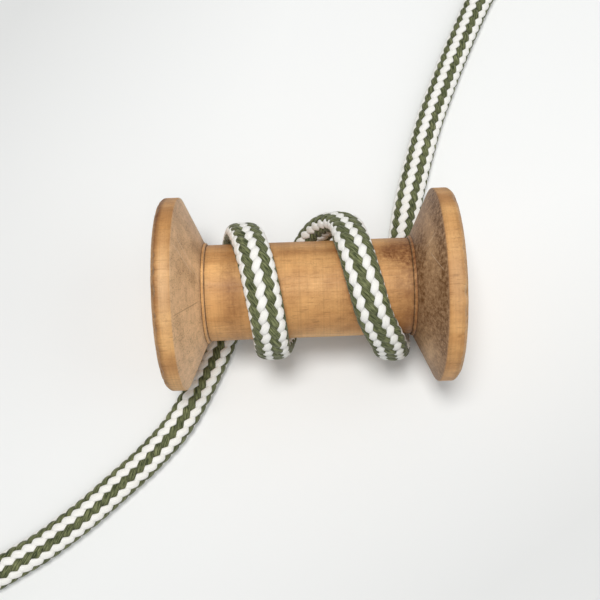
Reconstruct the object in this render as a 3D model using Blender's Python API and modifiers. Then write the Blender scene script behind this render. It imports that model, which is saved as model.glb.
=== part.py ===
"""A soft braided cord laid in two open turns round a turned wooden spool that lies on its side.

Metres, +Z up. The spool's axis runs along X and the origin is on the surface under its middle.
-Y is the near side. The cord comes in from the far right, passes under the barrel, climbs its
near side, takes two turns to the left, passes under the barrel again and leaves to the near left.
"""
from math import cos, pi, radians, sin

import bmesh
import bpy
import numpy as np
from mathutils import Vector

# Turned spool
SPOOL_LENGTH = 0.0740
FLANGE_RADIUS = 0.0250
BARREL_RADIUS = 0.01245
BORE_RADIUS = 0.0045
BORE_CHAMFER = 0.0006
RIM_WIDTH = 0.0046
OUTER_CHAMFER = 0.0009
INNER_CHAMFER = 0.0004
FOOT_INSET = 0.0114        # from the end face to where the barrel starts
BEAD_WIDTH = 0.0012        # the bead and its two grooves, at the foot of each inner face
BEAD_HEIGHT = 0.0010
SPOOL_SIDES = 64

# The flange stands on the flat of one of its sides, so its axis is this high
AXIS_HEIGHT = FLANGE_RADIUS * cos(pi / SPOOL_SIDES)

# Soft cord: its section where it lies free, and where it is drawn over the barrel
FREE_WIDTH = 0.0082
FREE_THICKNESS = 0.0074
DRAWN_WIDTH = 0.0092
DRAWN_THICKNESS = 0.0056
CORD_SIDES = 16
RING_SPACING = 0.0028
TAIL_RADIUS = 0.0038
TAIL_HEIGHT = 0.0039
TAIL_SPACING = 0.0060
GAP = 0.0003
FREE_LIFT = 0.0030         # lifted this far off the barrel, the cord has its free section

# The wound turns, in the order in which the cord runs. The columns are the turn angle in degrees,
# the place along the spool's axis and the lift, both in millimetres. A turn angle of 0 is under
# the axis, 90 is the near side, 180 the top and 270 the far side. The lift is the space between
# the barrel and the cord's underside.
TURNS = (
    (-8, 24.6, 4.9),
    (8, 23.9, 4.85),
    (24, 23.2, 3.9),
    (42, 22.6, 2.4),
    (60, 21.5, 1.4),
    (78, 20.4, 0.7),
    (95, 19.7, 0.2),
    (113, 18.0, 0.0),
    (136, 15.6, 0.0),
    (158, 14.1, 0.0),
    (180, 12.7, 0.0),
    (198, 11.8, 0.0),
    (215, 10.9, 0.1),
    (230, 10.4, 0.4),
    (242, 9.8, 0.9),
    (252, 8.7, 1.4),
    (261, 7.1, 1.7),
    (270, 5.4, 2.0),
    (280, 3.6, 2.2),
    (294, 1.2, 2.2),
    (315, -1.6, 1.5),
    (338, -4.0, 0.6),
    (365, -6.2, 0.1),
    (400, -8.4, 0.0),
    (435, -9.7, 0.0),
    (465, -9.9, 0.0),
    (482, -10.1, 0.0),
    (506, -10.8, 0.0),
    (529, -11.8, 0.0),
    (549, -12.8, 0.0),
    (574, -14.4, 0.0),
    (600, -16.0, 0.0),
    (625, -17.2, 0.2),
    (648, -18.5, 0.9),
    (670, -19.8, 2.5),
    (690, -21.0, 4.3),
    (706, -21.8, 5.05),
    (720, -23.0, 4.7),
)

# The loose ends on the surface, from the wound turns outwards: X and Y, in millimetres
TAIL_LEFT = (
    (-23.0, 0.0), (-24.2, -5.1), (-26.4, -10.4), (-29.4, -16.6), (-32.0, -21.8), (-34.8, -26.8),
    (-38.4, -32.0), (-42.7, -36.7), (-47.1, -41.0), (-51.9, -45.1), (-57.0, -49.5), (-62.1, -53.7),
    (-67.2, -57.4), (-72.3, -60.9), (-77.4, -63.8), (-82.5, -66.6), (-87.8, -69.2), (-93.2, -71.5),
    (-98.8, -73.5), (-104.4, -75.2), (-110.1, -76.6), (-115.3, -77.6),
)
TAIL_RIGHT = (
    (24.6, 3.0), (25.4, 9.6), (26.6, 16.2), (28.1, 22.9), (29.5, 29.5), (31.0, 35.6),
    (32.6, 41.0), (34.4, 46.8), (36.5, 53.4), (38.8, 60.1), (41.5, 66.9), (44.5, 74.0),
    (47.6, 81.1), (50.9, 88.3), (54.4, 95.6), (58.1, 103.0), (62.1, 110.2), (66.2, 117.2),
    (70.6, 124.1), (75.2, 130.8), (80.1, 137.3), (83.6, 141.6),
)

WOOD = ((0.60, 0.38, 0.20), 0.55)
CORD = ((0.42, 0.44, 0.35), 0.90)


def clear_scene():
    """Empty the scene of its objects."""
    for item in list(bpy.data.objects):
        bpy.data.objects.remove(item, do_unlink=True)


def material(name, finish):
    """A plain finish from a colour and a roughness."""
    colour, roughness = finish
    made = bpy.data.materials.new(name)
    made.use_nodes = True
    shader = made.node_tree.nodes["Principled BSDF"]
    shader.inputs["Base Color"].default_value = (*colour, 1.0)
    shader.inputs["Roughness"].default_value = roughness
    shader.inputs["Metallic"].default_value = 0.0
    return made


def collect(item, collection, finish):
    """Put a piece in the collection and give it its material."""
    collection.objects.link(item)
    item.data.materials.append(finish)


def half_profile():
    """One half of the spool's outer side as (radius, height), from the end face to the middle."""
    end = SPOOL_LENGTH / 2
    rim = end - RIM_WIDTH
    foot = end - FOOT_INSET
    shoulder = BARREL_RADIUS + BEAD_HEIGHT
    return [
        (BORE_RADIUS + BORE_CHAMFER, end),
        (FLANGE_RADIUS - OUTER_CHAMFER, end),
        (FLANGE_RADIUS, end - OUTER_CHAMFER),
        (FLANGE_RADIUS, rim + INNER_CHAMFER),
        (FLANGE_RADIUS - INNER_CHAMFER, rim),
        (shoulder + 0.4 * BEAD_HEIGHT, foot + BEAD_WIDTH),
        (shoulder - 0.2 * BEAD_HEIGHT, foot + 0.80 * BEAD_WIDTH),
        (shoulder - 0.1 * BEAD_HEIGHT, foot + 0.50 * BEAD_WIDTH),
        (BARREL_RADIUS, foot + 0.10 * BEAD_WIDTH),
    ]


def build_spool():
    """The turned spool: a closed profile round its bore, swept once round the axis."""
    outer = half_profile()
    mirrored = [(radius, -height) for radius, height in reversed(outer)]
    bore_end = SPOOL_LENGTH / 2 - BORE_CHAMFER
    bore = [(BORE_RADIUS, -bore_end), (BORE_RADIUS, bore_end)]
    loop = outer + mirrored + bore
    count = len(loop)
    mesh = bpy.data.meshes.new("spool")
    edges = [(i, (i + 1) % count) for i in range(count)]
    mesh.from_pydata([(radius, 0.0, height) for radius, height in loop], edges, [])
    item = bpy.data.objects.new("spool", mesh)
    screw = item.modifiers.new("turning", "SCREW")
    screw.axis = "Z"
    screw.steps = SPOOL_SIDES
    screw.render_steps = SPOOL_SIDES
    screw.use_merge_vertices = True
    screw.merge_threshold = 0.00001
    screw.use_smooth_shade = True
    # Half a side's turn about its own axis brings a flat to the underside, then it is laid down
    item.rotation_mode = "ZYX"
    item.rotation_euler = (0.0, pi / 2, pi / SPOOL_SIDES)
    item.location = (0.0, 0.0, AXIS_HEIGHT)
    return item


def smooth_rows(rows, spacing, place):
    """Rows read from a smooth curve through the given ones, about spacing apart.

    Each span is a Catmull-Rom curve in the rows' own columns, and place turns a row into a point
    so that the spacing is a real length.
    """
    table = np.array(rows, dtype=float)
    padded = np.vstack([2 * table[0] - table[1], table, 2 * table[-1] - table[-2]])
    share = np.linspace(0.0, 1.0, 24, endpoint=False)[:, None]
    dense = []
    for before, start, end, after in zip(padded, padded[1:], padded[2:], padded[3:]):
        dense.append(0.5 * (2 * start + (end - before) * share
                            + (2 * before - 5 * start + 4 * end - after) * share ** 2
                            + (3 * (start - end) + after - before) * share ** 3))
    dense = np.vstack([*dense, table[-1:]])
    points = np.array([place(row) for row in dense])
    walked = np.concatenate([[0.0], np.cumsum(np.linalg.norm(np.diff(points, axis=0), axis=1))])
    stops = np.linspace(0.0, walked[-1], max(2, round(walked[-1] / spacing) + 1))
    return np.stack([np.interp(stops, walked, column) for column in dense.T], axis=1)


def section_at(lift):
    """The cord's width and thickness for its lift off the barrel, both in metres."""
    share = min(max(lift / FREE_LIFT, 0.0), 1.0)
    eased = share * share * (3 - 2 * share)
    width = DRAWN_WIDTH + (FREE_WIDTH - DRAWN_WIDTH) * eased
    thickness = DRAWN_THICKNESS + (FREE_THICKNESS - DRAWN_THICKNESS) * eased
    return width, thickness


def turn_place(row):
    """The cord's middle for a row of the turns, and the direction out from the spool's axis."""
    turn, along, lift = radians(row[0]), row[1] / 1000, row[2] / 1000
    outward = Vector((0.0, -sin(turn), -cos(turn)))
    reach = BARREL_RADIUS + GAP + section_at(lift)[1] / 2 + lift
    return Vector((along, 0.0, AXIS_HEIGHT)) + outward * reach, outward


def build_wound_turns():
    """The two turns and the passes under the barrel: an oval section carried along the turns."""
    rows = smooth_rows(TURNS, RING_SPACING, lambda row: turn_place(row)[0])
    middles = [turn_place(row)[0] for row in rows]
    shape = bmesh.new()
    rings = []
    for i, row in enumerate(rows):
        middle, outward = turn_place(row)
        ahead = (middles[min(i + 1, len(rows) - 1)] - middles[max(i - 1, 0)]).normalized()
        thick_way = (outward - ahead * outward.dot(ahead)).normalized()
        wide_way = ahead.cross(thick_way)
        width, thickness = section_at(row[2] / 1000)
        ring = []
        for k in range(CORD_SIDES):
            angle = 2 * pi * (k + 0.5) / CORD_SIDES
            side = wide_way * (width / 2 * sin(angle)) + thick_way * (thickness / 2 * cos(angle))
            ring.append(shape.verts.new(middle + side))
        rings.append(ring)
    for ring, following in zip(rings, rings[1:]):
        for k in range(CORD_SIDES):
            after = (k + 1) % CORD_SIDES
            shape.faces.new((ring[k], following[k], following[after], ring[after]))
    shape.faces.new(rings[0])
    shape.faces.new(list(reversed(rings[-1])))
    bmesh.ops.recalc_face_normals(shape, faces=shape.faces)
    mesh = bpy.data.meshes.new("wound_turns")
    shape.to_mesh(mesh)
    shape.free()
    mesh.shade_smooth()
    mesh.set_sharp_from_angle(angle=radians(60))
    return bpy.data.objects.new("wound_turns", mesh)


def surface_place(row):
    """A point on the surface for a row of a loose end."""
    return Vector((row[0], row[1], 0.0)) / 1000


def build_tail(name, route):
    """A loose end: a tube on the surface that starts a gap away from the wound turns."""
    points = [surface_place(row) for row in smooth_rows(route, TAIL_SPACING, surface_place)]
    points[0] = points[0] + (points[1] - points[0]).normalized() * GAP
    curve = bpy.data.curves.new(name, "CURVE")
    curve.dimensions = "3D"
    curve.bevel_depth = TAIL_RADIUS
    curve.bevel_resolution = 3
    curve.use_fill_caps = True
    line = curve.splines.new("POLY")
    line.points.add(len(points) - 1)
    for spot, point in zip(line.points, points):
        spot.co = (point.x, point.y, TAIL_HEIGHT, 1.0)
    line.use_smooth = True
    return bpy.data.objects.new(name, curve)


def main():
    """Build the spool, the wound turns and the two loose ends."""
    clear_scene()
    collection = bpy.data.collections.new("cord_on_spool")
    bpy.context.scene.collection.children.link(collection)
    wood = material("turned_wood", WOOD)
    yarn = material("soft_cord", CORD)
    collect(build_spool(), collection, wood)
    collect(build_wound_turns(), collection, yarn)
    collect(build_tail("tail_left", TAIL_LEFT), collection, yarn)
    collect(build_tail("tail_right", TAIL_RIGHT), collection, yarn)


main()
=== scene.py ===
import logging
from dataclasses import dataclass, field
from enum import Enum
from math import cos, pi, radians, sin

import bpy
import numpy as np
from mathutils import Matrix, Vector


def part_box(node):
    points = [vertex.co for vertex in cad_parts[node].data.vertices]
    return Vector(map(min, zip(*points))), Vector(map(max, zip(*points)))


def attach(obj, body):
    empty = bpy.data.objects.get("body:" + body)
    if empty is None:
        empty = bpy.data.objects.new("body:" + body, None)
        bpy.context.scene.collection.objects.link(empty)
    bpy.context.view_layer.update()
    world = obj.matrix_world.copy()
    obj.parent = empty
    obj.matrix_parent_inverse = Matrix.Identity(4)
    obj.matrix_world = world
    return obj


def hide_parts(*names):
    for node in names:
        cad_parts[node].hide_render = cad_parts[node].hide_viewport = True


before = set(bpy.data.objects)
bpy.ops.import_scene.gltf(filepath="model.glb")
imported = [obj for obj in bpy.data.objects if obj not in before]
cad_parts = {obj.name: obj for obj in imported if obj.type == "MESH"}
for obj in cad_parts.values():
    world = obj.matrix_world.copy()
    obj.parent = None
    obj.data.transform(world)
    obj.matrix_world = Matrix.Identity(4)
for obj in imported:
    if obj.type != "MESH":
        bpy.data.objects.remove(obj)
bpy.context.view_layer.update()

Array = np.ndarray
Material, Object, Socket = bpy.types.Material, bpy.types.Object, bpy.types.NodeSocket

MM = 0.001
ROOT = "root"
LOG = logging.getLogger("cord_on_spool")

# The wound turns as the solids have them: turn angle in degrees (0 under the axis, 90 the near
# side, 180 the top, 270 the far side), place along the axis and lift off the barrel in millimetres.
TURNS = (
    (-8, 24.6, 4.9), (8, 23.9, 4.85), (24, 23.2, 3.9), (42, 22.6, 2.4), (60, 21.5, 1.4),
    (78, 20.4, 0.7), (95, 19.7, 0.2), (113, 18.0, 0.0), (136, 15.6, 0.0), (158, 14.1, 0.0),
    (180, 12.7, 0.0), (198, 11.8, 0.0), (215, 10.9, 0.1), (230, 10.4, 0.4), (242, 9.8, 0.9),
    (252, 8.7, 1.4), (261, 7.1, 1.7), (270, 5.4, 2.0), (280, 3.6, 2.2), (294, 1.2, 2.2),
    (315, -1.6, 1.5), (338, -4.0, 0.6), (365, -6.2, 0.1), (400, -8.4, 0.0), (435, -9.7, 0.0),
    (465, -9.9, 0.0), (482, -10.1, 0.0), (506, -10.8, 0.0), (529, -11.8, 0.0), (549, -12.8, 0.0),
    (574, -14.4, 0.0), (600, -16.0, 0.0), (625, -17.2, 0.2), (648, -18.5, 0.9), (670, -19.8, 2.5),
    (690, -21.0, 4.3), (706, -21.8, 5.05), (720, -23.0, 4.7),
)

# The loose ends on the surface, from the wound turns outwards: X and Y in millimetres.
TAIL_LEFT = (
    (-23.0, 0.0), (-24.2, -5.1), (-26.4, -10.4), (-29.4, -16.6), (-32.0, -21.8), (-34.8, -26.8),
    (-38.4, -32.0), (-42.7, -36.7), (-47.1, -41.0), (-51.9, -45.1), (-57.0, -49.5), (-62.1, -53.7),
    (-67.2, -57.4), (-72.3, -60.9), (-77.4, -63.8), (-82.5, -66.6), (-87.8, -69.2), (-93.2, -71.5),
    (-98.8, -73.5), (-104.4, -75.2), (-110.1, -76.6), (-115.3, -77.6),
)
TAIL_RIGHT = (
    (24.6, 3.0), (25.4, 9.6), (26.6, 16.2), (28.1, 22.9), (29.5, 29.5), (31.0, 35.6),
    (32.6, 41.0), (34.4, 46.8), (36.5, 53.4), (38.8, 60.1), (41.5, 66.9), (44.5, 74.0),
    (47.6, 81.1), (50.9, 88.3), (54.4, 95.6), (58.1, 103.0), (62.1, 110.2), (66.2, 117.2),
    (70.6, 124.1), (75.2, 130.8), (80.1, 137.3), (83.6, 141.6),
)

# The slow turn of the braid's columns in degrees, which sets the colour that faces the camera. Its
# places are millimetres before the turns, turn angles in degrees, and millimetres after the turns.
COLUMNS_RIGHT = ((99, 53.0), (89, 50.5), (69, 48.5), (48, 50.5), (30, 49.0), (0, 46.0))
COLUMNS_WOUND = (
    (110, 36.0), (145, 32.7), (180, 25.1), (215, 8.5), (240, -16.0), (265, -36.0), (290, -48.0),
    (320, -52.0), (430, -14.0), (477, -17.3), (489, -15.5), (502, -10.6), (514, -6.6), (525, -3.2),
    (545, 0.6), (564, 4.0), (580, 2.0), (620, -12.0),
)
COLUMNS_LEFT = (
    (0, -9.0), (18, -9.5), (33, -14.0), (41, -12.5), (52, -14.7), (64, -20.5), (86, -18.5),
    (97, -25.0),
)
COLUMNS_END = -27.0

# Browner and paler patches of the wood: real stains and pale streaks, painted shade beside the
# cord's wraps and painted highlights on the rims' near side. Place along the axis in millimetres,
# angle from the top towards the near side in degrees, reach along in millimetres, reach in
# degrees, and depth, which is negative where the wood is paler.
WOOD_PATCHES = (
    (21, -24, 4.8, 15, 0.88), (-19.2, 20, 2.8, 70, 0.50), (0, -31, 10, 8, 0.30),
    (9, -30, 4, 24, 0.50), (10.6, 28, 1.8, 34, 0.50), (-27.5, -31, 1.2, 9, 0.30),
    (-30, 1, 1, 7, 0.22), (-28, 7, 0.7, 9, 0.25), (-31, -30, 1.5, 20, 0.20),
    (-29.5, 72, 2.2, 22, -0.14), (31.6, 0, 0.9, 60, 0.30), (27.2, 15, 0.8, 25, 0.30),
    (29.6, -22, 0.9, 26, -0.34), (29.6, 84, 1.3, 18, -0.30), (29.5, 46, 2.6, 22, 0.16),
    (34.6, -45, 4, 22, 0.22), (-34.6, -50, 3, 22, 0.20), (-34.6, 80, 4, 30, 0.10),
    (34.6, 18, 3, 26, -0.14), (-34.2, 18, 2.2, 30, -0.22), (26, -18, 3, 16, 0.30),
    (34.89, 49, 0.22, 0.6, 0.70), (36.3, 21, 0.35, 1, -0.40), (33.6, 70, 0.2, 0.6, 0.50),
)

# Fine scratches and joints on the inner faces: both ends in millimetres, half width in
# millimetres, and whether the line is dark.
WOOD_SCRATCHES = (
    ((-31.56, 7.33, 47.03), (-27.02, -1.29, 38.70), 0.16, False),
    ((-31.99, 4.75, 48.66), (-28.17, -0.57, 41.15), 0.18, False),
    ((-32.15, -12.74, 45.88), (-27.03, -6.35, 37.23), 0.22, True),
    ((28.82, 3.55, 42.15), (30.79, 5.96, 45.78), 0.13, False),
    ((29.41, 1.72, 43.67), (31.74, -4.76, 48.11), 0.13, False),
)


def unit(rows: Array) -> Array:
    """Each row divided by its own length."""
    return rows / np.linalg.norm(rows, axis=-1, keepdims=True)


def smoothstep(low: float, high: float, at: Array) -> Array:
    """A soft step: 0 below low, 1 above high and 3t^2 - 2t^3 between."""
    share = np.clip((at - low) / (high - low), 0.0, 1.0)
    return share * share * (3.0 - 2.0 * share)


def blur(rows: Array, spread: float) -> Array:
    """Columns smoothed by a bell curve, with both ends carried on in a straight line.

    Args:
        rows: Samples, one a row.
        spread: The bell's standard deviation, in samples.

    Returns:
        The smoothed samples, as many as there were.
    """
    reach = max(1, int(4 * spread))
    bell = np.exp(-0.5 * (np.arange(-reach, reach + 1) / spread) ** 2)
    bell /= bell.sum()
    steps = np.arange(reach, 0, -1)[:, None]
    before = rows[:1] - steps * (rows[1:2] - rows[:1])
    after = rows[-1:] + steps[::-1] * (rows[-1:] - rows[-2:-1])
    longer = np.vstack([before, rows, after])
    return np.stack([np.convolve(column, bell, mode="valid") for column in longer.T], axis=1)


def catmull_rom(rows: tuple, steps: int = 24) -> Array:
    """A Catmull-Rom curve through the rows, in the rows' own columns.

    Args:
        rows: The rows to pass through.
        steps: Samples in each span.

    Returns:
        The samples, with the last row at the end.
    """
    table = np.array(rows, dtype=float)
    padded = np.vstack([2 * table[0] - table[1], table, 2 * table[-1] - table[-2]])
    before, start, end, after = (padded[i:len(padded) - 3 + i, None] for i in range(4))
    share = np.linspace(0.0, 1.0, steps, endpoint=False)[None, :, None]
    spans = 0.5 * (2 * start + (end - before) * share
                   + (2 * before - 5 * start + 4 * end - after) * share ** 2
                   + (3 * (start - end) + after - before) * share ** 3)
    return np.vstack([spans.reshape(-1, table.shape[1]), table[-1:]])


class NodeSheet:
    """A material's node tree with short ways to add and join nodes."""

    def __init__(self, name: str) -> None:
        """Make the material and keep its shader.

        Args:
            name: The material's name.
        """
        self.material = bpy.data.materials.new(name)
        self.material.use_nodes = True
        self.tree = self.material.node_tree
        self.shader = self.tree.nodes["Principled BSDF"]

    def add(self, kind: str, sockets: dict = None, **settings: object) -> bpy.types.Node:
        """Add a node.

        Args:
            kind: The node's Blender type.
            sockets: Input names or numbers, each with a value or a socket to link from.
            **settings: The node's own properties.

        Returns:
            The node.
        """
        node = self.tree.nodes.new(kind)
        for key, value in settings.items():
            setattr(node, key, value)
        for key, value in (sockets or {}).items():
            self.feed(node.inputs[key], value)
        return node

    def feed(self, socket: Socket, value: object) -> None:
        """Link a socket if the value is one, and set its number or colour otherwise."""
        if isinstance(value, Socket):
            self.tree.links.new(value, socket)
        else:
            socket.default_value = value

    def dress(self, sockets: dict) -> Material:
        """Feed the shader's own inputs.

        Args:
            sockets: Input names, each with a value or a socket to link from.

        Returns:
            The material.
        """
        for key, value in sockets.items():
            self.feed(self.shader.inputs[key], value)
        return self.material

    def math(self, operation: str, first: object, second: object = 0.0) -> Socket:
        """A Math node's result for two numbers or sockets."""
        return self.add("ShaderNodeMath", {0: first, 1: second}, operation=operation).outputs[0]

    def noise(self, vector: object, scale: float, detail: float = 2.0, rough: float = 0.5) -> Socket:
        """A Noise texture's factor on a vector."""
        sockets = {"Vector": vector, "Scale": scale, "Detail": detail, "Roughness": rough}
        return self.add("ShaderNodeTexNoise", sockets).outputs["Fac"]

    def stretch(self, vector: object, scale: tuple) -> Socket:
        """A vector scaled along each axis, for a pattern with a grain."""
        return self.add("ShaderNodeMapping", {"Vector": vector, "Scale": scale}).outputs[0]

    def ramp(self, factor: object, low: float, high: float,
             bottom: float = 0.0, top: float = 1.0) -> Socket:
        """A factor moved from one range to another and clamped there."""
        sockets = dict(enumerate((factor, low, high, bottom, top)))
        return self.add("ShaderNodeMapRange", sockets).outputs[0]

    def mix(self, factor: object, first: object, second: object, blend: str = "MIX") -> Socket:
        """Two colours mixed by a factor."""
        sockets = {0: factor, 6: first, 7: second}
        return self.add("ShaderNodeMix", sockets, data_type="RGBA", blend_type=blend).outputs[2]

    def attribute(self, name: str) -> Socket:
        """A named attribute of the mesh."""
        return self.add("ShaderNodeAttribute", attribute_name=name).outputs["Fac"]

    def bump(self, height: object, strength: float, depth: float,
             under: object = None) -> Socket:
        """A bumped normal from a height of 0 to 1 that stands for a depth in metres."""
        sockets = {"Height": height, "Strength": strength, "Distance": depth}
        return self.add("ShaderNodeBump", sockets | ({"Normal": under} if under else {})).outputs[0]


class Yarn(Enum):
    """The braid's two colours, in the order of a piece's material slots."""

    WHITE = 0
    GREEN = 1


@dataclass(frozen=True)
class YarnFinish:
    """Soft matt yarn: fine filaments along each float, with painted shade where it dives under."""

    name: str
    light: tuple
    dark: tuple
    sheen: float
    crease_shade: float
    filaments: float = 15.0
    plies: float = 3.5
    along: float = 0.45
    lint_scale: float = 5200.0
    patch_scale: float = 170.0
    roughness: float = 0.88
    sheen_roughness: float = 0.45
    specular: float = 0.22

    def material(self) -> Material:
        """The yarn's material.

        Filaments and the coarser plies are noises drawn out along the yarn, read from its UV map
        of millimetres along and turns round; lint and patches are plain ones. The rise attribute,
        1 on a float's crown and 0 where it passes under, and lower on its inner side, is painted
        shade: it darkens the crossings and the yarn's underside down to the yarn's darkest shade.

        Returns:
            The material.
        """
        sheet = NodeSheet(self.name)
        uv = sheet.add("ShaderNodeUVMap", uv_map="yarn").outputs[0]
        place = sheet.add("ShaderNodeTexCoord").outputs["Object"]
        strands = sheet.noise(sheet.stretch(uv, (self.along, self.filaments, 1)), 1.0, 3.0, 0.55)
        plies = sheet.noise(sheet.stretch(uv, (self.along / 2, self.plies, 1)), 1.0, 1.0)
        lint = sheet.noise(place, self.lint_scale, 2.0, 0.6)
        patches = sheet.noise(place, self.patch_scale, 2.0)
        shade = sheet.mix(sheet.ramp(strands, 0.40, 0.64), self.dark, self.light)
        shade = sheet.mix(sheet.ramp(patches, 0.35, 0.7, 0.0, 0.25), shade, self.dark)
        # Painted shade: the rise attribute darkens the yarn where it dives under and on its inner
        # side.
        crease_shade = sheet.ramp(sheet.attribute("rise"), 0.1, 0.9, self.crease_shade, 1.0)
        crease_shade = sheet.math("MULTIPLY", crease_shade, sheet.ramp(lint, 0.3, 0.7, 0.92, 1.05))
        # grey holds the painted shade as a colour, multiplied into the yarn's colour below.
        grey = sheet.add("ShaderNodeCombineColor", {0: crease_shade, 1: crease_shade, 2: crease_shade}).outputs[0]
        ply = sheet.bump(plies, 0.6, 0.16 * MM, sheet.bump(lint, 0.35, 0.05 * MM))
        return sheet.dress({"Base Color": sheet.mix(1.0, shade, grey, "MULTIPLY"),
                            "Roughness": self.roughness, "Specular IOR Level": self.specular,
                            "Sheen Weight": self.sheen, "Sheen Roughness": self.sheen_roughness,
                            "Normal": sheet.bump(strands, 0.9, 0.12 * MM, ply)})


@dataclass(frozen=True)
class WoodFinish:
    """Turned beech: golden tan with fine pores along the grain, greyer on the end grain."""

    name: str = "turned_wood"
    pale: tuple = (0.87, 0.500, 0.200, 1)
    warm: tuple = (0.58, 0.290, 0.100, 1)
    brown: tuple = (0.150, 0.068, 0.023, 1)
    grey: tuple = (0.900, 0.615, 0.375, 1)
    russet: tuple = (0.330, 0.130, 0.040, 1)
    red: tuple = (0.190, 0.068, 0.020, 1)
    bright_and_highlight: tuple = (0.97, 0.67, 0.37, 1)
    scratch: tuple = (0.80, 0.62, 0.44, 1)
    # The darkening colour of the grime attribute: soiling and painted shade.
    dirt_and_shade: tuple = (0.09, 0.045, 0.020, 1)
    tone_grain: tuple = (22, 110, 110)
    streak_grain: tuple = (60, 1500, 1500)
    pore_grain: tuple = (330, 3000, 3000)
    lathe_grain: tuple = (2400, 40, 40)
    blotch_scale: float = 150.0
    cluster_scale: float = 240.0
    fleck_scale: float = 2400.0
    stain_and_shade_scale: float = 900.0
    grime_and_shade_scale: float = 1400.0
    roughness: tuple = (0.46, 0.62)
    specular: float = 0.3
    axis_height: float = 25 * MM
    face_tilt: tuple = (0.9, 0.43)

    def material(self) -> Material:
        """The spool's material, with the grain along X.

        Broad tones and streaks are noises drawn out along the grain, pores are a fine noise that
        is long along X and cut off near its top, and tool lines are a noise that is fine along X
        only. The inner and end faces mix in the grey of end grain, with denser flecks, which
        gather in clusters. The stain attribute browns whole areas, redder along the grain: real
        discolouring, with painted shade beside the cord. Where it is negative it makes them paler:
        real pale streaks, with painted highlights on the rims. The grime attribute darkens grooves,
        the bore and worn edges: partly wear and soiling, partly painted shade in the hollows.

        Returns:
            The material.
        """
        sheet = NodeSheet(self.name)
        coordinates = sheet.add("ShaderNodeTexCoord").outputs
        place = coordinates["Object"]
        facing = sheet.add("ShaderNodeSeparateXYZ", {0: coordinates["Normal"]}).outputs[0]
        end_grain = sheet.ramp(sheet.math("ABSOLUTE", facing), 0.45, 0.85)
        tone = sheet.noise(sheet.stretch(place, self.tone_grain), 1.0, 3.0, 0.6)
        streaks = sheet.noise(sheet.stretch(place, self.streak_grain), 1.0, 4.0, 0.65)
        blotch = sheet.noise(place, self.blotch_scale, 4.0, 0.65)
        pores = sheet.noise(sheet.stretch(place, self.pore_grain), 1.0, 1.0, 0.4)
        pores = sheet.ramp(pores, 0.62, 0.72)
        lathe = sheet.noise(sheet.stretch(place, self.lathe_grain), 1.0, 3.0, 0.7)
        cluster = sheet.ramp(sheet.noise(place, self.cluster_scale, 4.0, 0.7), 0.36, 0.64, 0.15, 1.5)
        mottle = sheet.ramp(end_grain, 0.0, 1.0, 0.10, 0.16)
        flecks = sheet.ramp(sheet.noise(place, self.fleck_scale, 4.0, 0.75), 0.50, 0.68, 0.0, 0.55)
        flecks = sheet.math("MULTIPLY", flecks, sheet.ramp(end_grain, 0.0, 1.0, 0.35, 1.0))
        stain_shade_and_highlight, grime_and_shade = sheet.attribute("stain_shade_and_highlight"), sheet.attribute("grime_and_shade")
        uneven = sheet.ramp(sheet.noise(place, self.stain_and_shade_scale, 5.0, 0.75), 0.3, 0.7, 0.45, 1.4)
        speck = sheet.ramp(sheet.noise(place, self.grime_and_shade_scale, 2.0, 0.6), 0.3, 0.6, 0.45, 1.0)
        layers = [
            (sheet.ramp(streaks, 0.42, 0.74, 0.0, 0.5), self.warm),
            (sheet.ramp(blotch, 0.46, 0.75, 0.0, 0.48), self.russet),
            (sheet.math("MULTIPLY", end_grain, 0.65), self.grey),
            # Painted highlight, with real pale streaks: a negative stain attribute lifts the wood to
            # bright.
            (sheet.ramp(sheet.math("MULTIPLY", stain_shade_and_highlight, -1.0), 0.0, 0.5, 0.0, 0.75), self.bright_and_highlight),
            (sheet.math("MULTIPLY", mottle, cluster), self.brown),
            (sheet.math("MULTIPLY", flecks, cluster), self.brown),
            (sheet.math("MULTIPLY", pores, 0.30), self.brown),
            (sheet.ramp(lathe, 0.45, 0.75, 0.0, 0.22), self.brown),
            # Real stains, and painted shade beside the cord, brown the wood by the stain attribute.
            (sheet.math("MULTIPLY", stain_shade_and_highlight, uneven), sheet.mix(end_grain, self.red, self.brown)),
            # Painted shade in the grooves and the bore, with wear on the edges, from the grime
            # attribute.
            (sheet.math("MULTIPLY", grime_and_shade, speck), self.dirt_and_shade),
        ]
        for start, end, width, dark in WOOD_SCRATCHES:
            line = self.line(sheet, place, (start, end), width)
            colour = self.brown if dark else self.scratch
            layers.append((sheet.math("MULTIPLY", line, 0.5), colour))
        shade = sheet.mix(sheet.ramp(tone, 0.38, 0.62), self.pale, self.warm)
        for share, colour in layers:
            shade = sheet.mix(share, shade, colour)
        turned = sheet.bump(lathe, 0.5, 0.03 * MM, sheet.bump(streaks, 0.4, 0.03 * MM))
        hollow = sheet.math("SUBTRACT", 1.0, pores)
        return sheet.dress({"Base Color": shade, "Specular IOR Level": self.specular,
                            "Roughness": sheet.ramp(streaks, 0.3, 0.7, *self.roughness),
                            "Normal": sheet.bump(hollow, 0.45, 0.06 * MM, turned)})

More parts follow.
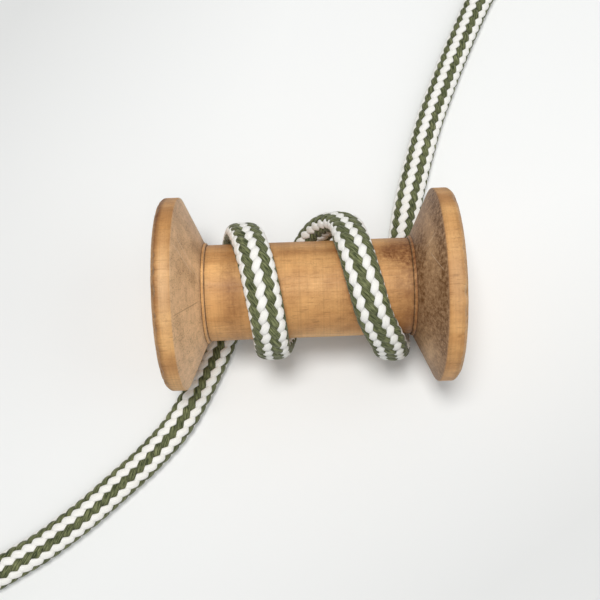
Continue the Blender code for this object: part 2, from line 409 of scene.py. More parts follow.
    def line(self, sheet: NodeSheet, place: object, ends: tuple, width: float) -> object:
        """How strongly a point lies on a straight scratch between two places.

        It is 1 on the plane through both ends and the inner face's outward direction there, and
        falls to 0 at the width, beyond the ends and away from the face.

        Args:
            sheet: The wood's nodes.
            place: The point's Object coordinates.
            ends: Both ends, in millimetres.
            width: Half the line's width, in millimetres.

        Returns:
            The socket with the strength.
        """
        start, end = (Vector(corner) * MM for corner in ends)
        middle, along = (start + end) / 2, end - start
        tilt, lean = self.face_tilt
        outward = Vector((-tilt if middle.x > 0 else tilt, 0.0, 0.0))
        outward += lean * Vector((0.0, middle.y, middle.z - self.axis_height)).normalized()
        across = along.cross(outward).normalized()
        offset = sheet.add("ShaderNodeVectorMath", {0: place, 1: middle}, operation="SUBTRACT")
        strength = 1.0
        for axis, low, high in ((across, 0.0, width * MM), (along / along.length_squared, 0.4, 0.52),
                                (outward.normalized(), 1.5 * MM, 2.0 * MM)):
            sockets = {0: offset.outputs[0], 1: axis}
            node = sheet.add("ShaderNodeVectorMath", sockets, operation="DOT_PRODUCT")
            away = sheet.math("ABSOLUTE", node.outputs["Value"])
            strength = sheet.math("MULTIPLY", strength, sheet.ramp(away, low, high, 1.0, 0.0))
        return strength


@dataclass(frozen=True)
class PlainFinish:
    """The pale surface that the spool lies on, its colour darkened away from a diagonal band as
    painted shade.
    """

    name: str = "pale_surface"
    colour: tuple = (0.866, 0.880, 0.880, 1)
    roughness: float = 0.7
    specular: float = 0.2
    reach: float = 0.1
    level: float = 0.02
    shade_dimming: float = 0.065
    near_shade_dimming: float = 0.09
    most: float = 0.18

    def material(self) -> Material:
        """The surface's material: pale, with painted shade that dims it away from a diagonal band.

        The painted shade is a level, plus a share of the squared distance from the line x = y,
        less a share of the place along y, both counted in the band's reach. It is held between 0
        and its most.

        Returns:
            The material.
        """
        sheet = NodeSheet(self.name)
        place = sheet.add("ShaderNodeTexCoord").outputs["Object"]
        axes = sheet.add("ShaderNodeSeparateXYZ", {0: place}).outputs
        # Painted shade: the colour is darkened away from the diagonal band and towards the near
        # side.
        away = sheet.math("SUBTRACT", axes[0], axes[1])
        across = sheet.math("MULTIPLY", sheet.math("MULTIPLY", away, away),
                            self.shade_dimming / self.reach ** 2)
        along = sheet.math("MULTIPLY", axes[1], self.near_shade_dimming / self.reach)
        fall = sheet.math("ADD", sheet.math("SUBTRACT", across, along), self.level)
        fall = sheet.math("MINIMUM", sheet.math("MAXIMUM", fall, 0.0), self.most)
        return sheet.dress({"Base Color": sheet.mix(fall, self.colour, (0.0, 0.0, 0.0, 1)),
                            "Roughness": self.roughness, "Specular IOR Level": self.specular})


def mesh_piece(name: str, points: Array, faces: Array, finishes: list) -> Object:
    """A smooth mesh piece that rides on the root body.

    Args:
        name: The piece's name.
        points: Its points in metres, one a row.
        faces: Point numbers, one quad a row; a triangle repeats its last number.
        finishes: Its materials, in slot order.

    Returns:
        The object, linked to the scene.
    """
    mesh = bpy.data.meshes.new(name)
    sizes = np.where(faces[:, 3] == faces[:, 2], 3, 4)
    corners = faces.ravel()[(np.arange(4) < sizes[:, None]).ravel()]
    mesh.vertices.add(len(points))
    mesh.vertices.foreach_set("co", points.astype(np.float32).ravel())
    mesh.loops.add(len(corners))
    mesh.loops.foreach_set("vertex_index", corners.astype(np.int32))
    mesh.polygons.add(len(faces))
    starts = np.concatenate([[0], np.cumsum(sizes)[:-1]])
    mesh.polygons.foreach_set("loop_start", starts.astype(np.int32))
    mesh.update(calc_edges=True)
    mesh.shade_smooth()
    for finish in finishes:
        mesh.materials.append(finish)
    item = bpy.data.objects.new(name, mesh)
    bpy.context.scene.collection.objects.link(item)
    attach(item, ROOT)
    return item


def set_attribute(mesh: bpy.types.Mesh, name: str, values: Array) -> None:
    """Store one number for each point of a mesh under a name."""
    layer = mesh.attributes.new(name, "FLOAT", "POINT")
    layer.data.foreach_set("value", values.astype(np.float32).ravel())


def tube_faces(rings: int, sides: int, tubes: int) -> Array:
    """Quads and end fans of many closed tubes of the same size, laid one after another.

    Point k of ring i of tube t is number t * (rings * sides) + i * sides + k. Each end is closed
    with a fan of triangles from its ring's first point.

    Args:
        rings: Rings in a tube.
        sides: Points in a ring.
        tubes: How many tubes.

    Returns:
        Point numbers, one face a row.
    """
    ring, side = np.meshgrid(np.arange(rings - 1), np.arange(sides), indexing="ij")
    after = (side + 1) % sides
    walls = np.stack([ring * sides + side, ring * sides + after,
                      (ring + 1) * sides + after, (ring + 1) * sides + side], axis=-1)
    fan = np.arange(1, sides - 1)
    first = np.stack([0 * fan, fan + 1, fan, fan], axis=-1)
    last = (rings - 1) * sides + np.stack([0 * fan, fan, fan + 1, fan + 1], axis=-1)
    one = np.vstack([walls.reshape(-1, 4), first, last])
    return (one[None] + (np.arange(tubes) * rings * sides)[:, None, None]).reshape(-1, 4)


@dataclass
class CordSection:
    """The cord's outline across: nearly round where it is free, flattened over the barrel."""

    free: tuple = (8.4 * MM, 6.5 * MM, 2.0)
    drawn: tuple = (8.95 * MM, 5.3 * MM, 2.4)
    levels: int = 17
    steps: int = 720

    def __post_init__(self) -> None:
        """Keep evenly spaced outline points and outward normals for each level of flattening.

        An outline is |x / half width| ** n + |y / half thickness| ** n = 1, walked from its
        outer side towards +x. Its points are then spaced evenly by length.
        """
        share = np.linspace(0.0, 1.0, self.levels)[:, None]
        wide, thick, power = (drawn + (free - drawn) * share
                              for drawn, free in zip(self.drawn, self.free))
        turn = np.linspace(0.0, 2 * pi, 4 * self.steps + 1)[None]
        x = wide / 2 * np.sign(np.sin(turn)) * np.abs(np.sin(turn)) ** (2 / power)
        y = thick / 2 * np.sign(np.cos(turn)) * np.abs(np.cos(turn)) ** (2 / power)
        outline = np.stack([x, y], axis=-1)
        run = np.linalg.norm(np.diff(outline, axis=1, prepend=outline[:, :1]), axis=-1)
        walked = np.cumsum(run, axis=1)
        even = np.linspace(0.0, 1.0, self.steps + 1)
        rows = [np.stack([np.interp(even * far[-1], far, column) for column in line.T], axis=1)
                for far, line in zip(walked, outline)]
        even_line = np.stack(rows)
        ahead = np.roll(even_line[:, :-1], -1, axis=1) - np.roll(even_line[:, :-1], 1, axis=1)
        ahead = unit(np.concatenate([ahead, ahead[:, :1]], axis=1))
        normal = np.stack([-ahead[..., 1], ahead[..., 0]], axis=-1)
        self.table = np.concatenate([even_line, normal], axis=-1)

    def at(self, free: Array, angle: Array) -> Array:
        """Outline points and normals, read between the table's rows and columns.

        Args:
            free: How free the cord is, from 0 to 1.
            angle: Share of the way round, as an angle from the outer side towards +x.

        Returns:
            x, y, normal x and normal y in the last axis.
        """
        level = np.clip(free, 0.0, 1.0) * (self.levels - 1)
        low = np.minimum(level.astype(int), self.levels - 2)
        step = np.mod(angle / (2 * pi), 1.0) * self.steps
        first = np.minimum(step.astype(int), self.steps - 1)
        blend, part = (level - low)[..., None], (step - first)[..., None]
        table = self.table
        flat = table[low, first] * (1 - part) + table[low, first + 1] * part
        rounder = table[low + 1, first] * (1 - part) + table[low + 1, first + 1] * part
        return flat * (1 - blend) + rounder * blend


@dataclass
class CordRoute:
    """The whole cord's middle line, from the far right end to the near left one."""

    axis_height: float
    barrel_radius: float
    section: CordSection = field(default_factory=CordSection)
    clearance: float = 0.3 * MM
    tail_height: float = 3.3 * MM
    free_lift: float = 3.0 * MM
    spacing: float = 0.6 * MM
    line_spread: float = 1.2 * MM
    frame_spread: float = 4.0 * MM
    loose_spread: float = 3.0 * MM

    def __post_init__(self) -> None:
        """Sample the route evenly and keep each sample's place, frame and looseness.

        A wound sample is the axis plus the outward direction times the barrel's radius, the
        clearance, half the cord's thickness and the lift. The frame's out is that direction, or
        down on the surface, and its side is ahead x out. All are then smoothed along the cord.
        """
        turns = catmull_rom(TURNS)
        angle, along, lift = np.radians(turns[:, 0]), turns[:, 1] * MM, turns[:, 2] * MM
        loose = smoothstep(0.0, self.free_lift, lift)
        drawn, free = self.section.drawn[1], self.section.free[1]
        thick = drawn + (free - drawn) * loose
        outward = np.stack([0 * angle, -np.sin(angle), -np.cos(angle)], axis=1)
        reach = self.barrel_radius + self.clearance + thick / 2 + lift
        wound = outward * reach[:, None]
        wound[:, 0] += along
        wound[:, 2] += self.axis_height
        right, left = (self.on_surface(tail) for tail in (TAIL_RIGHT, TAIL_LEFT))
        down = np.array([[0.0, 0.0, -1.0]])
        points = np.vstack([right[::-1], wound[1:-1], left])
        outs = np.vstack([np.repeat(down, len(right), 0), outward[1:-1],
                          np.repeat(down, len(left), 0)])
        looseness = np.concatenate([np.ones(len(right)), loose[1:-1], np.ones(len(left))])
        steps = np.linalg.norm(np.diff(points, axis=0), axis=1)
        walked = np.concatenate([[0.0], np.cumsum(steps)])
        self.at = np.linspace(0.0, walked[-1], int(round(walked[-1] / self.spacing)) + 1)
        self.right_split = walked[len(right) - 1]
        self.left_split = walked[-len(left)]
        self.turn_rows = np.degrees(angle[1:-1]), walked[len(right):-len(left)]
        table = np.column_stack([points, outs, looseness])
        table = np.stack([np.interp(self.at, walked, column) for column in table.T], axis=1)
        self.middle = blur(table[:, :3], self.line_spread / self.spacing)
        self.ahead = unit(np.gradient(self.middle, axis=0))
        outs = blur(table[:, 3:6], self.frame_spread / self.spacing)
        outs -= self.ahead * (outs * self.ahead).sum(1, keepdims=True)
        self.out = unit(outs)
        self.side = np.cross(self.ahead, self.out)
        loose = blur(table[:, 6:7], self.loose_spread / self.spacing)[:, 0]
        self.loose = np.clip(loose, 0.0, 1.0)

    def on_surface(self, tail: tuple) -> Array:
        """A loose end's middle line at its height on the surface, in metres."""
        flat = catmull_rom(tail) * MM
        return np.column_stack([flat, np.full(len(flat), self.tail_height)])

    def turn_at(self, angle: float) -> float:
        """How far along the cord a turn angle in degrees is, in metres."""
        return float(np.interp(angle, *self.turn_rows))


@dataclass
class Braid:
    """20 yarns, 10 white one way round and 10 green the other, each over two and under two."""

    route: CordRoute
    finishes: list
    carriers: int = 10
    width: tuple = (1.35 * MM, 2.14 * MM)
    thickness: tuple = (0.75 * MM, 1.00 * MM)
    dive: tuple = (0.58 * MM, 0.80 * MM)
    squareness: float = 1.75
    white_share: tuple = (-0.23, 0.14)
    outer_draw: tuple = (0.0, 0.01)
    straightening: float = 0.27
    flatness: tuple = (2.7, 2.4)
    free_pitch: float = 3.04 * MM
    drawn_pitch: float = 2.91 * MM
    turn_spread: float = 3.0 * MM
    wobble: float = 0.02
    wobble_run: float = 6.1 * MM
    sides: int = 12
    core_sides: int = 24
    core_gap: float = 1.15 * MM
    # The core's rise below is low, so the core is painted in shade.
    core_rise_shade: float = 0.3
    uv_step: float = 7.3

    def __post_init__(self) -> None:
        """Work out the braid's phase and its slow turn along the cord.

        The phase grows by one column, 36 degrees, for each pitch. The columns' turn goes through
        the places in the tables, in straight lines that are then smoothed.
        """
        route = self.route
        pitch = self.drawn_pitch + (self.free_pitch - self.drawn_pitch) * route.loose
        steps = np.diff(route.at, prepend=route.at[0])
        self.phase = np.cumsum(steps / pitch) * 2 * pi / self.carriers
        right = [(route.right_split - back * MM, turn) for back, turn in COLUMNS_RIGHT]
        wound = [(route.turn_at(angle), turn) for angle, turn in COLUMNS_WOUND]
        left = [(route.left_split + on * MM, turn) for on, turn in COLUMNS_LEFT]
        spots = np.array([*right, *wound, *left, (route.at[-1], COLUMNS_END)])
        slow = np.interp(route.at, spots[:, 0], spots[:, 1])
        self.columns = np.radians(blur(slow[:, None], self.turn_spread / route.spacing)[:, 0])

    def between(self, drawn_free: tuple, rows: slice) -> Array:
        """A size for each sample, between its drawn and its free value."""
        return drawn_free[0] + (drawn_free[1] - drawn_free[0]) * self.route.loose[None, rows]

    def angles(self, rows: slice) -> tuple:
        """Each yarn's place round the cord, and its rise from 0, under, to 1, on top.

        White yarns run one way from the columns' turn and green ones the other, each 36 degrees
        from the next. The rise is a squared-off cosine of five times the angle from the columns,
        so that white is up where green is down. A yarn runs straighter along the cord where it is
        up and swings over faster where it is down, by a sine with the same period, and wobbles a
        little. The angle is then drawn in towards the outer side, by a share of its sine.

        Args:
            rows: Which of the route's samples to cover.

        Returns:
            The angles and the rises, by yarn and sample.
        """
        number = np.arange(self.carriers)[:, None]
        turn, phase = self.columns[None, rows], self.phase[None, rows]
        spin = 2 * pi / self.carriers
        wave = np.sin(self.route.at[None, rows] / self.wobble_run + 2.4 * number)
        wobble = self.wobble * wave
        white = turn + number * spin + phase + wobble
        green = turn + (number + 0.5) * spin - phase - wobble[::-1]
        angle = np.vstack([white, green])
        around = self.carriers / 2 * (angle - turn)
        wave = np.cos(around) + self.between(self.white_share, rows)
        wave[self.carriers:] *= -1
        sway = self.straightening / (self.carriers / 2) * np.sin(around)
        sway[:self.carriers] *= -1
        wave = np.tanh(self.squareness * wave) / np.tanh(self.squareness)
        angle = angle + sway - self.between(self.outer_draw, rows) * np.sin(angle)
        return angle, np.clip(0.5 + 0.5 * wave, 0.0, 1.05)

    def yarns(self, rows: slice) -> tuple:
        """All 20 yarn tubes over a stretch of the cord.

        A yarn's middle lies under the cord's outline by half its thickness, and by the dive as
        well where it is under. Its own section is a flattened oval, |x| ** n + |y| ** n = 1, that
        lies flat on the cord and is wider and thicker where the yarn is on top.

        Args:
            rows: Which of the route's samples to cover.

        Returns:
            Points by yarn, ring and side, the crown share of each point, which sets its painted
            shade, and distances along.
        """
        route = self.route
        angle, rise = self.angles(rows)
        spot = route.section.at(np.broadcast_to(route.loose[rows], angle.shape), angle)
        wide, thick = (low + (high - low) * rise for low, high in (self.width, self.thickness))
        dive = self.between(self.dive, rows)
        depth = (self.thickness[1] / 2 + dive * (1 - rise))[..., None]
        side, out = route.side[None, rows], route.out[None, rows]
        normal = side * spot[..., 2:3] + out * spot[..., 3:4]
        middle = route.middle[None, rows] + side * spot[..., 0:1] + out * spot[..., 1:2]
        middle = middle - normal * depth
        ahead = unit(np.gradient(middle, axis=1))
        normal = unit(normal - ahead * (normal * ahead).sum(-1, keepdims=True))
        flat = np.cross(ahead, normal)
        ring = (np.arange(self.sides) + 0.5) * 2 * pi / self.sides
        power = 2 / self.between(self.flatness, rows)[0, :, None]
        up, across = (np.sign(v) * np.abs(v) ** power for v in (np.cos(ring), np.sin(ring)))
        points = (middle[:, :, None] + normal[:, :, None] * (thick / 2)[..., None, None]
                  * up[..., None] + flat[:, :, None] * (wide / 2)[..., None, None]
                  * across[..., None])
        run = np.linalg.norm(np.diff(middle, axis=1, prepend=middle[:, :1]), axis=-1)
        # Painted shade: the crown share is the rise, lowered on the yarn's inner side; the material
        # darkens the yarn where it is low.
        crown = np.clip(rise[..., None] * (0.6 + 0.4 * np.cos(ring)), 0.0, 1.0)
        return points, crown, np.cumsum(run, axis=1)

    def core(self, rows: slice) -> Array:
        """The white filling inside the yarns: the outline drawn in by the core gap.

        Args:
            rows: Which of the route's samples to cover.

        Returns:
            Points by ring and side.
        """
        route, sides = self.route, self.core_sides
        loose = np.repeat(route.loose[rows, None], sides, axis=1)
        ring = np.broadcast_to(np.arange(sides) * 2 * pi / sides, loose.shape)
        spot = route.section.at(loose, ring)
        across = (spot[..., 0] - spot[..., 2] * self.core_gap)[..., None]
        up = (spot[..., 1] - spot[..., 3] * self.core_gap)[..., None]
        return (route.middle[rows, None] + route.side[rows, None] * across
                + route.out[rows, None] * up)

    def build(self, name: str, start: float, end: float) -> tuple:
        """One stretch of the cord as a piece: its yarns and the core in one mesh.

        Args:
            name: The piece's name.
            start: Where it starts along the cord, in metres.
            end: Where it ends.

        Returns:
            The piece, and the middle line of its stretch.
        """
        route = self.route
        half = route.spacing / 2
        inside = np.flatnonzero((route.at >= start - half) & (route.at <= end + half))
        rows = slice(inside[0], inside[-1] + 1)
        points, crown, walked = self.yarns(rows)
        tubes, rings, sides = points.shape[:3]
        core = self.core(rows)
        yarn_faces = tube_faces(rings, sides, tubes)
        core_faces = tube_faces(rings, core.shape[1], 1) + tubes * rings * sides
        faces = np.vstack([yarn_faces, core_faces])
        piece = mesh_piece(name, np.vstack([points.reshape(-1, 3), core.reshape(-1, 3)]), faces,
                           self.finishes)
        mesh = piece.data
        per_tube = len(yarn_faces) // tubes
        colours = np.repeat([Yarn.WHITE.value, Yarn.GREEN.value], per_tube * self.carriers)
        colours = np.concatenate([colours, np.full(len(core_faces), Yarn.WHITE.value)])
        mesh.polygons.foreach_set("material_index", colours.astype(np.int32))
        # Each point's crown share, and the core's low rise, carry the painted shade into the rise
        # attribute.
        rise_shading = np.concatenate([crown.ravel(), np.full(core[..., 0].size, self.core_rise_shade)])
        set_attribute(mesh, "rise", rise_shading)
        self.lay_uv(mesh, walked)
        mesh.update()
        return piece, route.middle[rows]

    def lay_uv(self, mesh: bpy.types.Mesh, walked: Array) -> None:
        """A UV map of millimetres along each yarn and turns round it, a new patch for each yarn.

        Args:
            mesh: The stretch's mesh.
            walked: Distance along, by yarn and ring, in metres.
        """
        tubes, rings = walked.shape
        sides, core = self.sides, self.core_sides
        round_yarn = np.abs(np.arange(sides) / sides - 0.5) * 2
        along = np.repeat(walked[:, :, None] / MM, sides, axis=2)
        patch = self.uv_step * np.arange(tubes)[:, None, None]
        across = np.broadcast_to(round_yarn, along.shape) + patch
        round_core = np.broadcast_to(np.abs(np.arange(core) / core - 0.5) * 4, (rings, core))
        core_along = np.repeat(walked[0][:, None] / MM, core, axis=1)
        pairs = np.stack([np.concatenate([along.ravel(), core_along.ravel()]),
                          np.concatenate([across.ravel(), round_core.ravel()])], axis=1)
        corner = np.zeros(len(mesh.loops), np.int32)
        mesh.loops.foreach_get("vertex_index", corner)
        layer = mesh.uv_layers.new(name="yarn")
        layer.data.foreach_set("uv", pairs[corner].astype(np.float32).ravel())


@dataclass
class Cord:
    """The soft cord: its wound turns and its two loose ends."""

    braid: Braid
    diameter: float = 8.0 * MM

    def build(self) -> None:
        route = self.braid.route
        wound, line = self.braid.build("braid_turns", route.right_split, route.left_split)
        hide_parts("wound_turns")
        self.report(wound, line)
        right, line = self.braid.build("braid_tail_right", 0.0, route.right_split)
        self.declare(right, line[::-1], "tail_right")
        left, line = self.braid.build("braid_tail_left", route.left_split, route.at[-1])
        self.declare(left, line, "tail_left")

    def declare(self, piece: Object, line: Array, node: str) -> None:
        """Hide the solid that a loose end replaces, and log the loose end's name, length and faces.

        Args:
            piece: The loose end.
            line: Its middle line, from the wound turns outwards.
            node: The solid that it replaces.
        """
        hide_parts(node)
        self.length(line)
        self.report(piece, line)

    def report(self, piece: Object, line: Array) -> None:
        """Log a piece's name, length and faces."""
        LOG.info("%s: %.0f mm, %d faces", piece.name, self.length(line) / MM,
                 len(piece.data.polygons))

    @staticmethod
    def length(line: Array) -> float:
        """A middle line's length in metres."""
        return float(np.linalg.norm(np.diff(line, axis=0), axis=1).sum())


@dataclass
class Spool:
    """The turned spool, with its axis along X."""

    axis_height: float
    length: float = 74.0 * MM
    flange_radius: float = 24.98 * MM
    barrel_radius: float = 12.45 * MM
    bore_radius: float = 4.5 * MM
    rim_width: float = 4.6 * MM
    foot_inset: float = 11.4 * MM
    beads: tuple = (0.68 * MM, 0.55 * MM)
    around: int = 480
    run: float = 0.7 * MM
    arc_points: int = 5
    grime_and_shade_reach: float = 0.35 * MM
    foot_stain: float = 0.66
    foot_reach: tuple = (17 * MM, 27 * MM)
    strip_place: float = 0.85 * MM
    strip_reach: float = 0.62 * MM
    stain_shade_and_highlight_range: tuple = (-0.5, 0.88)
    chips: int = 90
    chip_shares: tuple = ((-1, 1.0), (1, 0.5))
    chip_reach: float = 0.6 * MM
    chip_cut: tuple = (0.8, 0.5)
    chip_grime: float = 1.1 * MM
    seed: int = 5

    def corners(self, bead: float) -> list:
        """Half of the outer profile, from the end face to the middle.

        Args:
            bead: How far the bead at the foot stands out from the barrel, in metres.

        Returns:
            Rows of radius, height, rounding and grime: wear on outer edges, painted shade in
            hollows.
        """
        end = self.length / 2
        rim, foot = end - self.rim_width, end - self.foot_inset
        bore, barrel, flange = self.bore_radius, self.barrel_radius, self.flange_radius
        crown = barrel + bead
        # Last column: darkening, wear on the outer edges and painted shade in the grooves and the
        # bore.
        rows = (
            (bore, 0, end, -2.0, 0, 0.6), (bore, 0, end, -0.6, 0.2, 0.5),
            (bore, 0.6, end, 0, 0.2, 0.3), (flange, -0.85, end, 0, 0.35, 0.35),
            (flange, 0, end, -0.95, 0.4, 0.22), (flange, 0, rim, 0, 0.35, 0.10),
            (barrel, 0.85, foot, 1.20, 0.05, 0.2), (barrel, 0.50, foot, 1.05, 0.06, 0.95),
            (crown, 0, foot, 0.88, 0.10, 0), (crown, -0.18, foot, 0.42, 0.12, 0),
            (barrel, -0.14, foot, 0.24, 0.06, 1.0), (barrel, 0.02, foot, 0.02, 0.08, 0.25),
            (barrel, 0, foot, -1.6, 0, 0),
        )
        return [(radius + out * MM, height + on * MM, arc * MM, grime_and_shade)
                for radius, out, height, on, arc, grime_and_shade in rows]

    def profile(self) -> Array:
        """The closed profile as rows of radius, height and grime.

        Each corner is rounded with a short parabola between points at its rounding from it, long
        runs are cut into short ones, and the left half is the right one's mirror image but for
        its bead. Grime and painted shade fade away from each corner.

        Returns:
            The rows, down the outer side and back up the bore.
        """
        left, right = (np.array(self.corners(bead)) for bead in self.beads)
        whole = np.vstack([right, left[::-1] * np.array([1, -1, 1, 1])])
        before, after = np.roll(whole, 1, axis=0), np.roll(whole, -1, axis=0)
        rows = []
        for corner, back, ahead in zip(whole, before, after):
            to_back = unit(back[:2] - corner[:2]) * corner[2]
            to_ahead = unit(ahead[:2] - corner[:2]) * corner[2]
            share = np.linspace(0.0, 1.0, self.arc_points if corner[2] > 0 else 1)[:, None]
            arc = corner[:2] + to_back * (1 - share) ** 2 + to_ahead * share ** 2
            rows.append(np.column_stack([arc, np.full(len(arc), corner[3])]))
        rows = np.vstack(rows)
        closed = np.vstack([rows, rows[:1]])
        pieces = []
        for start, stop in zip(closed[:-1], closed[1:]):
            length = np.linalg.norm((stop - start)[:2])
            share = np.linspace(0.0, 1.0, max(1, int(length / self.run)), endpoint=False)[:, None]
            run = start + (stop - start) * share
            away = np.minimum(share, 1 - share)[:, 0] * length
            run[:, 2] *= np.exp(-away / self.grime_and_shade_reach)
            pieces.append(run)
        return np.vstack(pieces)

    def build(self, finish: Material) -> Object:
        """The spool's surface: the profile swept round X, with small chips and a soft waver.

        A point is (height, -radius * sin(angle), axis + radius * cos(angle)). The radius wavers
        by a few hundredths of a millimetre, and near the flanges' outer corners it is cut in by
        bell-shaped chips at seeded places.

        Args:
            finish: The wood.

        Returns:
            The piece.
        """
        rows = self.profile()
        angle = np.arange(self.around) * 2 * pi / self.around
        radius, height, grime_and_shade = (np.repeat(column[:, None], self.around, axis=1)
                                 for column in rows.T)
        outer = radius > self.bore_radius + 0.1 * MM
        waver = 0.03 * np.sin(3 * angle + 1.1) + 0.02 * np.sin(7 * angle + height / (5 * MM))
        chip = self.chipping((radius, height, angle))
        radius = radius + np.where(outer, waver * MM, 0.0) - self.chip_cut[0] * chip
        height = height - np.sign(height) * self.chip_cut[1] * chip
        # Chips add wear to the grime, which darkens the wood.
        grime_and_shade = np.clip(grime_and_shade + chip / self.chip_grime, 0.0, 1.0)
        points = np.stack([height, -radius * np.sin(angle),
                           self.axis_height + radius * np.cos(angle)], axis=-1)
        count = len(rows)
        row, col = np.meshgrid(np.arange(count), np.arange(self.around), indexing="ij")
        below, beside = (row + 1) % count, (col + 1) % self.around
        faces = np.stack([row * self.around + col, row * self.around + beside,
                          below * self.around + beside, below * self.around + col], axis=-1)
        piece = mesh_piece("turned_spool", points.reshape(-1, 3), faces.reshape(-1, 4), [finish])
        set_attribute(piece.data, "grime_and_shade", grime_and_shade)
        set_attribute(piece.data, "stain_shade_and_highlight", self.stains_shades_and_highlights((radius, height, angle)))
        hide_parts("spool")
        LOG.info("turned_spool: %d faces", len(piece.data.polygons))
        return piece

    def stains_shades_and_highlights(self, sweep: tuple) -> Array:
        """How far each point is browned or paled: the right end, a strip of wear and painted shade
        on the left rim, and the patches.

        The right end darkens with a soft step along X on all but the rim, as real discoloured wood.
        The left end's outer corner darkens in a narrow bell, more towards the far side: wear and
        painted shade. Each patch is a bell in place along the axis and in angle, where 0 is the top
        and 90 degrees the near side; a negative one makes the wood paler.

        Args:
            sweep: Radius and place along the axis by row and angle, and the angles.

        Returns:
            The browning and paling by row and angle, held in its range from the palest to the
            brownest.
        """
        radius, height, angle = sweep
        end, rim = self.length / 2, self.length / 2 - self.rim_width
        inner = 1.0 - smoothstep(rim - 0.2 * MM, rim + 0.3 * MM, height)
        stain_shade_and_highlight = self.foot_stain * smoothstep(*self.foot_reach, height) * inner
        # Wear and painted shade: the left rim's outer corner is darkened, more towards the far side.
        strip = np.exp(-((height + end - self.strip_place) / self.strip_reach) ** 2)
        strip = strip * smoothstep(-0.9 * MM, -0.5 * MM, radius - self.flange_radius)
        stain_shade_and_highlight = stain_shade_and_highlight + (0.66 - 0.28 * np.sin(angle)) * strip
        # Patches: real stains, painted shade beside the cord's wraps and painted highlights on the
        # rims.
        for along, turn, wide, far, depth in WOOD_PATCHES:
            turned = np.angle(np.exp(1j * (angle - radians(turn)))) / radians(far)
            stain_shade_and_highlight = stain_shade_and_highlight + depth * np.exp(-((height / MM - along) / wide) ** 2 - turned ** 2)
        return np.clip(stain_shade_and_highlight, *self.stain_shade_and_highlight_range)

    def chipping(self, sweep: tuple) -> Array:
        """Depth of the small chips along both outer corners, in metres.

        Args:
            sweep: Radius and place along the axis by row and angle, and the angles.

        Returns:
            The depth by row and angle, a sum of bells in angle and in distance to the corner.
        """
        radius, height, angle = sweep
        draw = np.random.default_rng(self.seed)
        depth = np.zeros_like(radius)
        corner_r, corner_h = self.flange_radius - 0.35 * MM, self.length / 2 - 0.35 * MM
        for end, share in self.chip_shares:
            away = np.hypot(radius - corner_r, height - end * corner_h)
            near = np.exp(-(away / self.chip_reach) ** 2)
            for _ in range(self.chips):
                where, size = draw.uniform(0, 2 * pi), draw.uniform(0.2, 1.0) ** 2
                turn = np.angle(np.exp(1j * (angle - where))) * self.flange_radius
                bell = np.exp(-(turn / ((0.25 + 0.6 * size) * MM)) ** 2)
                depth += share * (0.1 + 0.4 * size) * MM * bell * near
        return depth


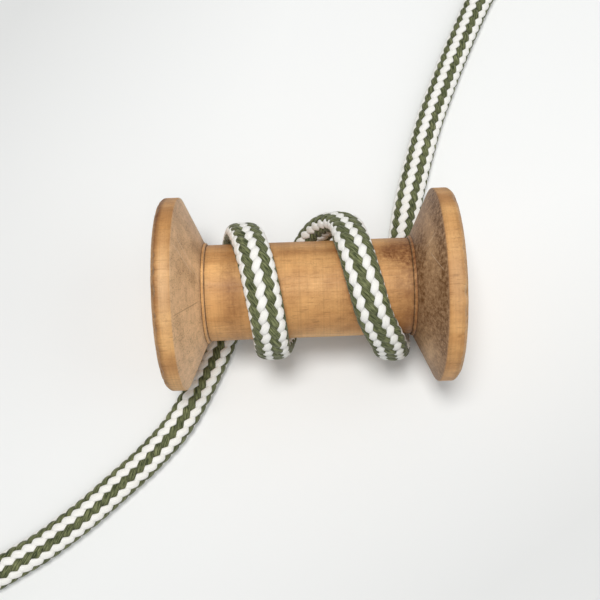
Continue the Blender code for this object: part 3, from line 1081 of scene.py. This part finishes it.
@dataclass
class Studio:
    """The camera, the pale surface, three soft lights and an even pale sky."""

    aim: tuple = (-2.39 * MM, -2.86 * MM, 25.0 * MM)
    distance: float = 227.4 * MM
    azimuth: float = 0.95
    elevation: float = 71.45
    roll: float = -3.09
    lens: float = 52.70
    sensor: float = 36.0
    surface: float = 3.0
    sky: tuple = (0.97, 0.985, 1.0, 1.0)
    sky_strength: float = 0.31
    lights: tuple = (
        ("overhead", (-0.09, -0.03, 0.93), 0.26, 5.4, (1.0, 0.985, 0.965)),
        ("side", (0.55, -0.05, 0.45), 0.6, 0.9, (1.0, 0.99, 0.97)),
        ("near", (0.03, -0.36, 0.86), 0.35, 1.1, (1.0, 0.99, 0.97)),
    )

    def camera(self) -> None:
        """The camera at the photograph's viewing angle, from its bearing, height and roll."""
        turn, rise, lean = (radians(v) for v in (self.azimuth, self.elevation, self.roll))
        back = Vector((sin(turn) * cos(rise), -cos(turn) * cos(rise), sin(rise)))
        right = (-back).cross(Vector((0, 0, 1))).normalized()
        up = right.cross(-back)
        across = right * cos(lean) + up * sin(lean)
        upright = up * cos(lean) - right * sin(lean)
        data = bpy.data.cameras.new("photo_view")
        data.lens = self.lens
        data.sensor_width = self.sensor
        data.clip_start = 0.01
        item = bpy.data.objects.new("photo_view", data)
        axes = Matrix((across, upright, back)).transposed().to_4x4()
        item.matrix_world = Matrix.Translation(Vector(self.aim) + back * self.distance) @ axes
        bpy.context.scene.collection.objects.link(item)
        bpy.context.scene.camera = item

    def floor(self, finish: Material) -> None:
        """The pale surface, a large plain sheet just under the spool.

        Args:
            finish: Its material.
        """
        half = self.surface / 2
        mesh = bpy.data.meshes.new("surface")
        mesh.from_pydata([(-half, -half, 0), (half, -half, 0), (half, half, 0), (-half, half, 0)],
                         [], [(0, 1, 2, 3)])
        mesh.materials.append(finish)
        item = bpy.data.objects.new("surface", mesh)
        bpy.context.scene.collection.objects.link(item)

    def light(self) -> None:
        """A main light overhead, weak ones from the right and the near side, and the sky."""
        world = bpy.data.worlds.new("studio")
        world.use_nodes = True
        background = world.node_tree.nodes["Background"]
        background.inputs["Color"].default_value = self.sky
        background.inputs["Strength"].default_value = self.sky_strength
        bpy.context.scene.world = world
        for row in self.lights:
            self.soft_light(*row)

    def soft_light(self, name: str, place: tuple, size: float, power: float,
                   colour: tuple) -> None:
        """A square area light that points at the spool.

        Args:
            name: The light's name.
            place: Where it hangs, in metres.
            size: Its side, in metres.
            power: Its power, in watts.
            colour: Its colour.
        """
        data = bpy.data.lights.new(name, "AREA")
        data.size = size
        data.energy = power
        data.color = colour
        item = bpy.data.objects.new(name, data)
        item.location = place
        item.rotation_euler = (Vector(place) - Vector(self.aim)).to_track_quat("Z", "Y").to_euler()
        bpy.context.scene.collection.objects.link(item)


def main() -> None:
    """Build the studio, the cord and the spool, in that order."""
    logging.basicConfig(level=logging.INFO, format="%(name)s %(message)s")
    bpy.context.scene.view_settings.view_transform = "Standard"
    low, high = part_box("spool")
    axis_height = (low[2] + high[2]) / 2
    studio = Studio()
    studio.camera()
    studio.floor(PlainFinish().material())
    studio.light()
    # The last number of each yarn sets the darkest of its painted shade, where it dives under.
    white = YarnFinish("white_yarn", (0.94, 0.935, 0.91, 1), (0.86, 0.85, 0.80, 1), 0.10, 0.82)
    green = YarnFinish("green_yarn", (0.265, 0.285, 0.135, 1), (0.036, 0.046, 0.018, 1), 0.18, 0.50)
    spool = Spool(axis_height)
    route = CordRoute(axis_height, spool.barrel_radius)
    Cord(Braid(route, [white.material(), green.material()])).build()
    spool.build(WoodFinish().material())


if __name__ == "__main__":
    main()
